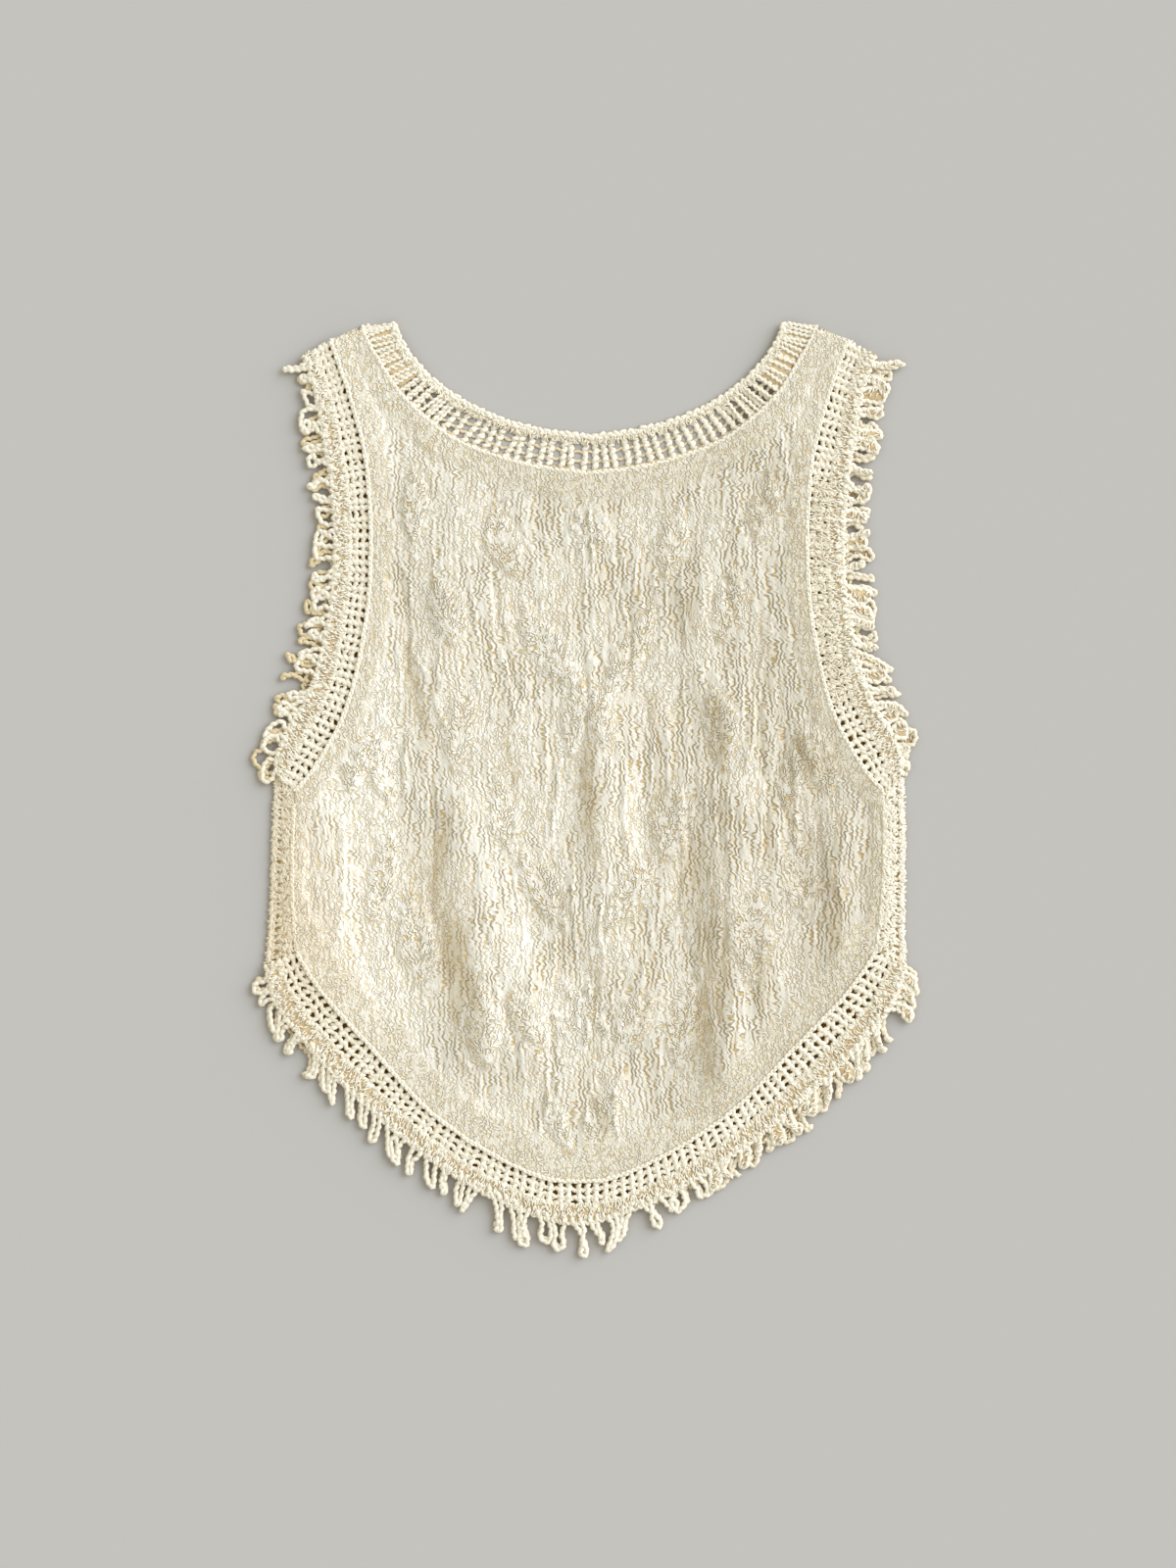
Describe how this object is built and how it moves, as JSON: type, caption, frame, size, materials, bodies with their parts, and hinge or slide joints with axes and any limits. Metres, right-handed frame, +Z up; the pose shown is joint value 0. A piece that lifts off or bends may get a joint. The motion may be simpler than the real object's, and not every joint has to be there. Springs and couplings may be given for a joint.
{
  "type": "crochet-trimmed sleeveless top",
  "caption": "Sleeveless cream top of crinkled cloth laid flat on its front, with openwork crochet bands at neck, armholes and hem, and looped fringe.",
  "frame": {"origin": "on the surface that the top lies on, on the flat underside of the front panel, on the centre line and level with the underarms", "axes": "+Y towards the neck, +Z up out of the back of the top, +X towards its right side as it lies"},
  "size_m": [0.4515, 0.623, 0.0109],
  "materials": {
    "crinkled_cloth": "semi-sheer crinkled cotton with a woven leaf relief, matt",
    "crochet_yarn": "matt cotton yarn, crocheted",
    "fringe_yarn": "matt cotton yarn in chain loops"
  },
  "bodies": {
    "root": {"front_panel": "crinkled_cloth", "back_panel": "crinkled_cloth", "neck_band_front": "crochet_yarn", "neck_band_back": "crochet_yarn", "hem_band_front": "crochet_yarn", "hem_band_back": "crochet_yarn", "side_strip_left": "crochet_yarn", "side_strip_right": "crochet_yarn", "armhole_band_front_left": "crochet_yarn", "armhole_band_front_right": "crochet_yarn", "armhole_band_back_left": "crochet_yarn", "armhole_band_back_right": "crochet_yarn", "fringe_hem_back": "fringe_yarn", "fringe_hem_front": "fringe_yarn", "fringe_left_back": "fringe_yarn", "fringe_left_front": "fringe_yarn", "fringe_right_back": "fringe_yarn", "fringe_right_front": "fringe_yarn"}
  },
  "joints": []
}
